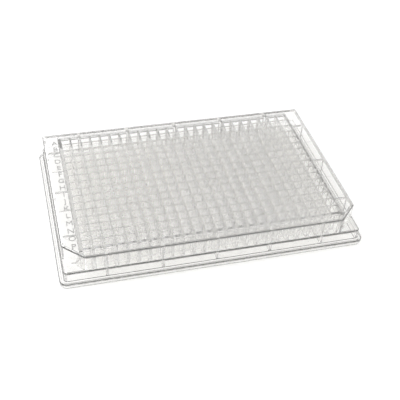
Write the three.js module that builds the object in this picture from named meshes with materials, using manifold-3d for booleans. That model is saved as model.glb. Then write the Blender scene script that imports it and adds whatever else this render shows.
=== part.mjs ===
// A 384-well plate, injection moulded in clear polystyrene as one piece.
// Millimetres, +Z up. The origin is the middle of the footprint, on the surface the plate stands on.
// Columns run along +X, rows run towards -Y, so the first well is at the back left corner.

import * as THREE from 'three';
import { mergeGeometries, mergeVertices } from 'three/addons/utils/BufferGeometryUtils.js';
import Module from 'manifold-3d';

const wasm = await Module();
wasm.setup();

// Footprint and overall height
const LENGTH = 127.76;
const WIDTH = 85.48;
const HEIGHT = 14.22;

// Centre of the corner well, from the end and from the side of the footprint
const FIRST_WELL_X = 12.13;
const FIRST_WELL_Y = 8.99;

// Steps of the outside: a flange at the foot, a skirt on it, and a wall that a lid slips over
const FLANGE_HEIGHT = 2.41;
const FLANGE_LEDGE = 1.83;
const FLANGE_RADIUS = 3.18;
const SKIRT_HEIGHT = 6.7;
const SKIRT_RADIUS = 1.5;
const LID_LEDGE = 0.5;
const LID_WALL_RADIUS = 0.5;
const CORNER_CUT = 8.1;
const EDGE_RADIUS = 0.3;

// Thicknesses of the moulding
const WALL = 1.25;
const DECK = 1.1;
const WELL_BASE = 0.85;
const RIB = 1.0;

// Wells: square, drafted, with their mouths standing a little above the deck. The block that
// holds them has a border round the outermost mouths, and a steeper draft on its own sides.
const PITCH = 4.5;
const WELL_WALL = 0.85;
const WELL_DRAFT_DEGREES = 1.86;
const BORDER = 1.5;
const BLOCK_DRAFT_DEGREES = 5.2;
const MOUTH_RISE = 0.57;

// Ribs between block and wall, spaced from the middle of each side and end. They end a little
// above the underside of the block.
const SIDE_RIB_SPACING = 22.5;
const END_RIB_SPACING = 27;
const RIB_LIFT = 0.15;

// Between the mouths of one plate and the block of the plate stacked on it
const STACK_GAP = 0.12;

// How far a cutting solid runs past the face that it cuts through
const OVERCUT = 1;

// Rounding that keeps an exact fit from losing a row or a column
const FIT_SLACK = 1e-6;

const deckTop = HEIGHT - MOUTH_RISE;
const deckUnderside = deckTop - DECK;

// A stacked plate seats its flange, hollowed out to this height, on the rim of the one below
const stackingSeat = FLANGE_HEIGHT - WALL;
const blockUnderside = stackingSeat + MOUTH_RISE + STACK_GAP;
const ribFoot = blockUnderside + RIB_LIFT;
const wellFloor = blockUnderside + WELL_BASE;

const skirtInset = FLANGE_LEDGE;
const lidWallInset = FLANGE_LEDGE + LID_LEDGE;

// As many wells as fit between the corner wells, centred in the footprint
const columns = wellsBetween(LENGTH - 2 * FIRST_WELL_X);
const rows = wellsBetween(WIDTH - 2 * FIRST_WELL_Y);

function wellsBetween(distance) {
  return Math.floor(distance / PITCH + FIT_SLACK) + 1;
}

// Outline of the plate, set in from the footprint. The two front corners may be cut at 45 degrees.
function outline(inset, radius, cut = 0) {
  const x = LENGTH / 2 - inset;
  const y = WIDTH / 2 - inset;
  const shape = new THREE.Shape();
  shape.moveTo(x, y - radius);
  shape.absarc(x - radius, y - radius, radius, 0, Math.PI / 2);
  shape.absarc(radius - x, y - radius, radius, Math.PI / 2, Math.PI);
  if (cut > 0) {
    shape.lineTo(-x, cut - y);
    shape.lineTo(cut - x, -y);
    shape.lineTo(x - cut, -y);
    shape.lineTo(x, cut - y);
  } else {
    shape.absarc(radius - x, radius - y, radius, Math.PI, 1.5 * Math.PI);
    shape.absarc(x - radius, radius - y, radius, 1.5 * Math.PI, 2 * Math.PI);
  }
  return shape;
}

// Upright prism on an outline, from one height to another, with its end edges rounded off
function prism(shape, bottom, top, edge = 0) {
  const geometry = new THREE.ExtrudeGeometry(shape, {
    depth: top - bottom - 2 * edge,
    curveSegments: 6,
    bevelEnabled: edge > 0,
    bevelThickness: edge,
    bevelSize: edge,
    bevelOffset: -edge,
    bevelSegments: 2,
  });
  return geometry.translate(0, 0, bottom + edge);
}

// Box with drafted sides: one size at its foot, another at its top
function draftedBox(foot, top, bottomZ, topZ) {
  const geometry = new THREE.BoxGeometry(1, 1, 1);
  const corners = geometry.getAttribute('position');
  for (let i = 0; i < corners.count; i += 1) {
    const end = corners.getZ(i) > 0 ? top : foot;
    const z = corners.getZ(i) > 0 ? topZ : bottomZ;
    corners.setXYZ(i, corners.getX(i) * end.x, corners.getY(i) * end.y, z);
  }
  return geometry;
}

// Closed geometry to solid, and back
function solid(geometry) {
  const bare = geometry.clone();
  bare.deleteAttribute('normal');
  bare.deleteAttribute('uv');
  const merged = mergeVertices(bare, 1e-4);
  const vertProperties = new Float32Array(merged.getAttribute('position').array);
  const triVerts = new Uint32Array(merged.getIndex().array);
  return new wasm.Manifold(new wasm.Mesh({ numProp: 3, vertProperties, triVerts }));
}

function geometryOf(manifold) {
  const mesh = manifold.getMesh();
  const geometry = new THREE.BufferGeometry();
  geometry.setAttribute('position', new THREE.BufferAttribute(mesh.vertProperties, 3));
  geometry.setIndex(new THREE.BufferAttribute(mesh.triVerts, 1));
  geometry.computeVertexNormals();
  return geometry;
}

function joined(geometries) {
  return geometries.map(solid).reduce((whole, piece) => whole.add(piece));
}

// The outside, one step standing on another
function shellOutside() {
  return joined([
    prism(outline(0, FLANGE_RADIUS), 0, FLANGE_HEIGHT, EDGE_RADIUS),
    prism(outline(skirtInset, SKIRT_RADIUS), 0, SKIRT_HEIGHT, EDGE_RADIUS),
    prism(outline(lidWallInset, LID_WALL_RADIUS, CORNER_CUT), 0, deckTop, EDGE_RADIUS),
  ]);
}

// The hollow under it: the same steps, a wall's thickness further in and lower.
// A 45 degree cut moved in by one wall loses (2 - sqrt 2) walls of each leg.
function shellHollow() {
  const innerRadius = (radius) => Math.max(radius - WALL, EDGE_RADIUS);
  const innerCut = CORNER_CUT - WALL * (2 - Math.SQRT2);
  return joined([
    prism(outline(WALL, innerRadius(FLANGE_RADIUS)), -OVERCUT, FLANGE_HEIGHT - WALL),
    prism(outline(skirtInset + WALL, innerRadius(SKIRT_RADIUS)), -OVERCUT, SKIRT_HEIGHT - WALL),
    prism(outline(lidWallInset + WALL, innerRadius(LID_WALL_RADIUS), innerCut), -OVERCUT, deckUnderside),
  ]);
}

// Width of a drafted form at a height, given its width at the level of the mouths
function drafted(widthAtMouths, degrees, z) {
  return widthAtMouths - 2 * (HEIGHT - z) * Math.tan(THREE.MathUtils.degToRad(degrees));
}

// The block that holds the wells. No corner of it may reach out past the wall's cut corners.
function wellBlock() {
  const mouths = {
    x: columns * PITCH - WELL_WALL + 2 * BORDER,
    y: rows * PITCH - WELL_WALL + 2 * BORDER,
  };
  const foot = {
    x: drafted(mouths.x, BLOCK_DRAFT_DEGREES, blockUnderside),
    y: drafted(mouths.y, BLOCK_DRAFT_DEGREES, blockUnderside),
  };
  const room = prism(outline(lidWallInset, LID_WALL_RADIUS, CORNER_CUT), 0, HEIGHT + OVERCUT);
  return solid(draftedBox(foot, mouths, blockUnderside, HEIGHT)).intersect(solid(room));
}

// All the wells as one cutting solid, carried on above the mouths at the same draft
function wells() {
  const mouth = PITCH - WELL_WALL;
  const floor = drafted(mouth, WELL_DRAFT_DEGREES, wellFloor);
  const open = drafted(mouth, WELL_DRAFT_DEGREES, HEIGHT + OVERCUT);
  const well = draftedBox({ x: floor, y: floor }, { x: open, y: open }, wellFloor, HEIGHT + OVERCUT);
  const copies = [];
  for (let row = 0; row < rows; row += 1) {
    for (let column = 0; column < columns; column += 1) {
      const x = (column - (columns - 1) / 2) * PITCH;
      const y = ((rows - 1) / 2 - row) * PITCH;
      copies.push(well.clone().translate(x, y, 0));
    }
  }
  return solid(mergeGeometries(copies));
}

// Places of the ribs along one side of the field of wells, the same to both sides of its middle
function ribPlaces(fieldLength, spacing) {
  const places = [0];
  for (let place = spacing; place < fieldLength / 2; place += spacing) {
    places.push(-place, place);
  }
  return places;
}

// Each rib is a web right across the plate, which the hollow is cut short at. The block
// swallows its middle, so only the stretches between block and wall are left.
function ribs() {
  const height = deckTop - ribFoot;
  const middleZ = (deckTop + ribFoot) / 2;
  const webs = [
    ...ribPlaces(columns * PITCH, SIDE_RIB_SPACING).map((x) => (
      new THREE.BoxGeometry(RIB, WIDTH, height).translate(x, 0, middleZ))),
    ...ribPlaces(rows * PITCH, END_RIB_SPACING).map((y) => (
      new THREE.BoxGeometry(LENGTH, RIB, height).translate(0, y, middleZ))),
  ];
  return joined(webs);
}

const clearPolystyrene = new THREE.MeshStandardMaterial({
  color: 0xdfe3e0,
  roughness: 0.08,
  metalness: 0,
  transparent: true,
  opacity: 0.35,
});

const moulding = shellOutside()
  .subtract(shellHollow().subtract(ribs()))
  .add(wellBlock())
  .subtract(wells());

const wellPlate = new THREE.Mesh(geometryOf(moulding), clearPolystyrene);
wellPlate.name = 'well_plate';

const plate = new THREE.Group();
plate.add(wellPlate);

export default plate;
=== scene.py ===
import math
import bmesh
import bpy
from mathutils import Matrix, Vector


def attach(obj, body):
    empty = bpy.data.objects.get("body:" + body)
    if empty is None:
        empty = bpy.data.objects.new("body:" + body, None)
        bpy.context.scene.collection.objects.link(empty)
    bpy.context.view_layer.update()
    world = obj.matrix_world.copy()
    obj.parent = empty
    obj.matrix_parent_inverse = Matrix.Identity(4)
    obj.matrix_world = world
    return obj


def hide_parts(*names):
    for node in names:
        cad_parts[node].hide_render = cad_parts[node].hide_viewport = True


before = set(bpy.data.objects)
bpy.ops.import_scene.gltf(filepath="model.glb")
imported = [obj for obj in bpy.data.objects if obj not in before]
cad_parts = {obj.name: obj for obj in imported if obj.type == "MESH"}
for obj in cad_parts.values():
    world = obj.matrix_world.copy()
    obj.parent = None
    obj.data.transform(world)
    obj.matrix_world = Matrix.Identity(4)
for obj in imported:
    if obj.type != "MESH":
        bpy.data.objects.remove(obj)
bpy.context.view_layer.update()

# ---------------------------------------------------------------- camera
# It looks down on the plate from the front, a little to the left of the middle. The lens, the
# distance and the slight roll give the plate its perspective.
lens_length = 67.96
sensor_width = 36
camera_distance = 0.3271
camera_azimuth = -17.04
camera_elevation = 41.05
camera_roll = 3.78
nearest_seen = 0.01
aim = Vector((0.0005, -0.0093, 0.0070))
camera_data = bpy.data.cameras.new("camera")
camera_data.lens = lens_length
camera_data.sensor_width = sensor_width
camera_data.clip_start = nearest_seen
camera = bpy.data.objects.new("camera", camera_data)
bpy.context.scene.collection.objects.link(camera)
bpy.context.scene.camera = camera
turn = (Matrix.Rotation(math.radians(camera_azimuth), 4, "Z")
        @ Matrix.Rotation(math.radians(90 - camera_elevation), 4, "X")
        @ Matrix.Rotation(math.radians(camera_roll), 4, "Z"))
camera.matrix_world = Matrix.Translation(aim) @ turn @ Matrix.Translation((0, 0, camera_distance))

# ---------------------------------------------------------------- moulding
# The whole plate: wells, deck, walls, skirt, flange and ribs, shot in one go from clear
# polystyrene. Its sharp edges are rounded a little, the housing's more than the wells'.
rows = 16
columns = 24
well_pitch = 0.0045
lid_ledge_height = 0.0067
lowest_mouth = 0.0141
well_edge_radius = 0.0001
housing_edge_radius = 0.00015
sharp_edge = math.radians(60)
flat_edge = math.radians(0.5)
weld_distance = 0.00001

# How far the well block, the outermost mouths and the housing's first edges lie past the cells
block_margin = 0.001
mouth_margin = -0.0003
housing_margin = 0.0015

moulding = bmesh.new()
moulding.from_mesh(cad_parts["well_plate"].data)
bmesh.ops.remove_doubles(moulding, verts=moulding.verts, dist=weld_distance)
bmesh.ops.dissolve_limit(moulding, angle_limit=flat_edge, verts=moulding.verts,
                         edges=moulding.edges, use_dissolve_boundaries=False, delimit=set())


def past_cells(place, margin):
    return (abs(place.x) > columns * well_pitch / 2 + margin
            or abs(place.y) > rows * well_pitch / 2 + margin)


def middle(edge):
    return (edge.verts[0].co + edge.verts[1].co) / 2


# The ledge that a lid stands on is narrower than two roundings, so its edges stay sharp.
def on_lid_ledge(edge):
    return all(abs(vert.co.z - lid_ledge_height) < 3 * weld_distance for vert in edge.verts)


def round_off(edges, radius):
    return bmesh.ops.bevel(moulding, geom=edges, offset=radius, offset_type="OFFSET",
                           affect="EDGES", segments=1, profile=0.5, material=-1,
                           clamp_overlap=False)["faces"]


# This face mark is painted shade. It is 1 on the housing's rounded edges, which turn the light
# away, so they are painted near-black, and less on the tops of the walls between wells, whose two
# soft edges nearly meet, so they are painted grey.
# Painted shade: the grey mark on wall tops, so that they look no brighter than the cells.
painted_wall_top_shade = 0.45
level = 0.9
steepest_rounding = 0.15
flattest_rounding = 0.985
painted_edge_shade = moulding.faces.layers.float.new("painted_edge_shade")
for face in round_off([edge for edge in moulding.edges
                       if edge.calc_face_angle(0) > sharp_edge and not on_lid_ledge(edge)
                       and past_cells(middle(edge), block_margin)], housing_edge_radius):
    face[painted_edge_shade] = 1
round_off([edge for edge in moulding.edges
           if edge.calc_face_angle(0) > sharp_edge
           and not past_cells(middle(edge), mouth_margin)], well_edge_radius)
# Painted shade: the housing's turned faces get the full dark mark, and the wall tops a grey one.
for face in moulding.faces:
    turned = steepest_rounding < abs(face.normal.z) < flattest_rounding
    if past_cells(face.calc_center_median(), housing_margin) and (turned or face[painted_edge_shade]):
        face[painted_edge_shade] = 1
    elif face.normal.z > level and min(vert.co.z for vert in face.verts) > lowest_mouth:
        face[painted_edge_shade] = painted_wall_top_shade
    else:
        face[painted_edge_shade] = 0
plate_mesh = bpy.data.meshes.new("moulded_plate")
moulding.to_mesh(plate_mesh)
moulding.free()
plate = bpy.data.objects.new("moulded_plate", plate_mesh)
bpy.context.scene.collection.objects.link(plate)


class Shade:
    """One output of a shader node. Arithmetic on it adds Math nodes, and node() adds any other."""

    def __init__(self, tree, socket=None):
        self.tree = tree
        self.socket = socket

    def node(self, kind, settings, sockets, output=0):
        made = self.tree.nodes.new(kind)
        for name, value in settings.items():
            setattr(made, name, value)
        for name, value in sockets.items():
            if isinstance(value, Shade):
                self.tree.links.new(value.socket, made.inputs[name])
            else:
                made.inputs[name].default_value = value
        return Shade(self.tree, made.outputs[output] if made.outputs else None)

    def maths(self, operation, first, second):
        return self.node("ShaderNodeMath", {"operation": operation}, {0: first, 1: second})

    def __add__(self, other):
        return self.maths("ADD", self, other)

    def __mul__(self, other):
        return self.maths("MULTIPLY", self, other)

    def __or__(self, other):
        return self.maths("MAXIMUM", self, other)

    __radd__ = __add__
    __rmul__ = __mul__


def empty_material(name):
    material = bpy.data.materials.new(name)
    material.use_nodes = True
    material.node_tree.nodes.clear()
    return material, Shade(material.node_tree)


# Clear polystyrene. Long soft ripples from the flow of the melt bend what shows through, and a
# faint bloom varies the polish. The plastic is greyer where it is thicker. Its shadow is left to
# see-through light, thinned at each face that it crosses.
refraction = 1.59
flow_stretch = (0.4, 1, 1)
ripples_per_metre = 160
ripple_height = 0.00001
blooms_per_metre = 45
shadow_tint = (0.94, 0.938, 0.93)
depth_colour = (0.03, 0.02, 0.0)
depth_density = 8
# Painted shade: the near-black that marked faces are mixed towards, in place of the dark lines
# their refraction would give.
painted_edge_shade_colour = (0.06, 0.06, 0.058)
edge_roughness = 0.12


def polystyrene(name, colour, polish, clarity, painted_shade_attribute=None):
    material, shade = empty_material(name)
    place = shade.node("ShaderNodeTexCoord", {}, {}, "Object")
    flow = shade.node("ShaderNodeMapping", {}, {"Vector": place, "Scale": flow_stretch})
    ripple = shade.node("ShaderNodeTexNoise", {}, {
        "Vector": flow, "Scale": ripples_per_metre, "Detail": 2})
    bump = shade.node("ShaderNodeBump", {}, {"Height": ripple, "Distance": ripple_height})
    bloom = shade.node("ShaderNodeTexNoise", {}, {
        "Vector": place, "Scale": blooms_per_metre, "Detail": 3})
    tone = (*colour, 1)
    roughness = polish * (bloom + 0.5)
    # Painted shade: a marked face's colour is mixed towards the dark edge colour by its mark.
    if painted_shade_attribute:
        edge = shade.node("ShaderNodeAttribute", {"attribute_name": painted_shade_attribute}, {}, "Fac")
        tone = shade.node("ShaderNodeMix", {"data_type": "RGBA"}, {
            0: edge, 6: (*colour, 1), 7: (*painted_edge_shade_colour, 1)}, 2)
        roughness = roughness + edge_roughness * edge
    plastic = shade.node("ShaderNodeBsdfPrincipled", {}, {
        "Base Color": tone, "Roughness": roughness, "IOR": refraction,
        "Transmission Weight": clarity, "Normal": bump})
    shadow_ray = shade.node("ShaderNodeLightPath", {}, {}, "Is Shadow Ray")
    diffuse_ray = shade.node("ShaderNodeLightPath", {}, {}, "Is Diffuse Ray")
    thin = shade.node("ShaderNodeBsdfTransparent", {}, {"Color": (*shadow_tint, 1)})
    surface = shade.node("ShaderNodeMixShader", {}, {
        0: shadow_ray | diffuse_ray, 1: plastic, 2: thin})
    depth = shade.node("ShaderNodeVolumeAbsorption", {}, {
        "Color": (*depth_colour, 1), "Density": depth_density})
    shade.node("ShaderNodeOutputMaterial", {}, {"Surface": surface, "Volume": depth})
    return material


face_colour = (0.998, 0.996, 0.992)
face_polish = 0.05
plate_mesh.materials.append(
    polystyrene("clear_polystyrene_looks", face_colour, face_polish, 1, "painted_edge_shade"))
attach(plate, "root")
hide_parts("well_plate")

# ---------------------------------------------------------------- row letters and column numbers
# Index marks raised a little from the deck: A to P down the left side, 1 to 24 along the back.
# They are left matt by the mould's engraving, so they are greyer than the polished deck.
deck_top = 0.01365
mark_relief = 0.00012
mark_colour = (0.5, 0.498, 0.49)
mark_polish = 0.4
mark_clarity = 0.6
letter_height = 0.0028
letters_x = -0.05675
number_height = 0.0016
numbers_y = 0.03895
capital_share = 0.7
touching = 0.000001
matt_polystyrene = polystyrene("matt_polystyrene_looks", mark_colour, mark_polish, mark_clarity)


def raised_marks(name, words, height, place_of):
    marks = bmesh.new()
    for index, word in enumerate(words):
        letter = bpy.data.curves.new(name, "FONT")
        letter.body = word
        letter.align_x = "CENTER"
        letter.align_y = "CENTER"
        letter.size = height / capital_share
        letter.extrude = mark_relief / 2
        letter.resolution_u = 3
        outline = bpy.data.objects.new(name, letter)
        raised = bpy.data.meshes.new_from_object(outline)
        raised.transform(Matrix.Translation((*place_of(index), deck_top + mark_relief / 2)))
        marks.from_mesh(raised)
        bpy.data.objects.remove(outline)
    bmesh.ops.remove_doubles(marks, verts=marks.verts, dist=touching)
    bmesh.ops.recalc_face_normals(marks, faces=marks.faces)
    mesh = bpy.data.meshes.new(name)
    marks.to_mesh(mesh)
    marks.free()
    mesh.materials.append(matt_polystyrene)
    piece = bpy.data.objects.new(name, mesh)
    bpy.context.scene.collection.objects.link(piece)
    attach(piece, "root")


first_row = (rows - 1) / 2 * well_pitch
first_column = -(columns - 1) / 2 * well_pitch
raised_marks("row_letters", [chr(ord("A") + row) for row in range(rows)], letter_height,
             lambda row: (letters_x, first_row - row * well_pitch))
raised_marks("column_numbers", [str(column + 1) for column in range(columns)], number_height,
             lambda column: (first_column + column * well_pitch, numbers_y))

# ---------------------------------------------------------------- table
# A white sheet that the plate stands on. To the camera, and through or off the plastic, it
# looks a little brighter than it is lit, so that it fades into the white background.
floor_half = 3
floor_colour = (0.9, 0.9, 0.9)
floor_glow = 0.15
sheet = bmesh.new()
bmesh.ops.create_grid(sheet, x_segments=1, y_segments=1, size=floor_half)
floor_mesh = bpy.data.meshes.new("floor")
sheet.to_mesh(floor_mesh)
sheet.free()
floor = bpy.data.objects.new("floor", floor_mesh)
bpy.context.scene.collection.objects.link(floor)
table_paint, shade = empty_material("table_paint")
camera_ray = shade.node("ShaderNodeLightPath", {}, {}, "Is Camera Ray")
through_ray = shade.node("ShaderNodeLightPath", {}, {}, "Is Transmission Ray")
gloss_ray = shade.node("ShaderNodeLightPath", {}, {}, "Is Glossy Ray")
painted = shade.node("ShaderNodeBsdfDiffuse", {}, {"Color": (*floor_colour, 1)})
glow = shade.node("ShaderNodeEmission", {}, {"Strength": floor_glow})
glowing = shade.node("ShaderNodeAddShader", {}, {0: painted, 1: glow})
seen = shade.node("ShaderNodeMixShader", {}, {
    0: camera_ray | through_ray | gloss_ray, 1: painted, 2: glowing})
shade.node("ShaderNodeOutputMaterial", {}, {"Surface": seen})
floor_mesh.materials.append(table_paint)

# ---------------------------------------------------------------- lights
# A large softbox at the back left lights the table only, so that the plate has its own soft
# shadow without glare in its walls. The room is brighter on the left, and the camera sees it white.
softbox_turn = 30
softbox_elevation = 42
softbox_distance = 1.2
softbox_size = 0.6
softbox_radiance = 2.0
lamp = bpy.data.lights.new("back_softbox", "AREA")
lamp.shape = "SQUARE"
lamp.size = softbox_size
lamp.energy = softbox_radiance * math.pi * softbox_size ** 2
softbox = bpy.data.objects.new("back_softbox", lamp)
bpy.context.scene.collection.objects.link(softbox)
softbox.matrix_world = (Matrix.Rotation(math.radians(softbox_turn), 4, "Z")
                        @ Matrix.Rotation(math.radians(softbox_elevation - 90), 4, "X")
                        @ Matrix.Translation((0, 0, softbox_distance)))
softbox.visible_transmission = False
softbox.visible_glossy = False

room_light = 1.08
room_slope_x = -1.0
room_slope_y = 0.12
white = (1, 1, 1, 1)
world = bpy.data.worlds.new("studio")
bpy.context.scene.world = world
world.use_nodes = True
world.node_tree.nodes.clear()
shade = Shade(world.node_tree)
direction = shade.node("ShaderNodeTexCoord", {}, {}, "Generated")
sideways = shade.node("ShaderNodeSeparateXYZ", {}, {"Vector": direction}, "X")
depthways = shade.node("ShaderNodeSeparateXYZ", {}, {"Vector": direction}, "Y")
room = shade.node("ShaderNodeBackground", {}, {
    "Color": white, "Strength": room_light + room_slope_x * sideways + room_slope_y * depthways})
backdrop = shade.node("ShaderNodeBackground", {}, {"Color": white, "Strength": 1})
camera_ray = shade.node("ShaderNodeLightPath", {}, {}, "Is Camera Ray")
surroundings = shade.node("ShaderNodeMixShader", {}, {0: camera_ray, 1: room, 2: backdrop})
shade.node("ShaderNodeOutputWorld", {}, {"Surface": surroundings})

# Light crosses dozens of well walls on its way, so it may bounce often.
clear_bounces = 48
gloss_bounces = 24
shadow_crossings = 128
scene = bpy.context.scene
scene.view_settings.view_transform = "Standard"
scene.cycles.max_bounces = clear_bounces
scene.cycles.transmission_bounces = clear_bounces
scene.cycles.glossy_bounces = gloss_bounces
scene.cycles.transparent_max_bounces = shadow_crossings
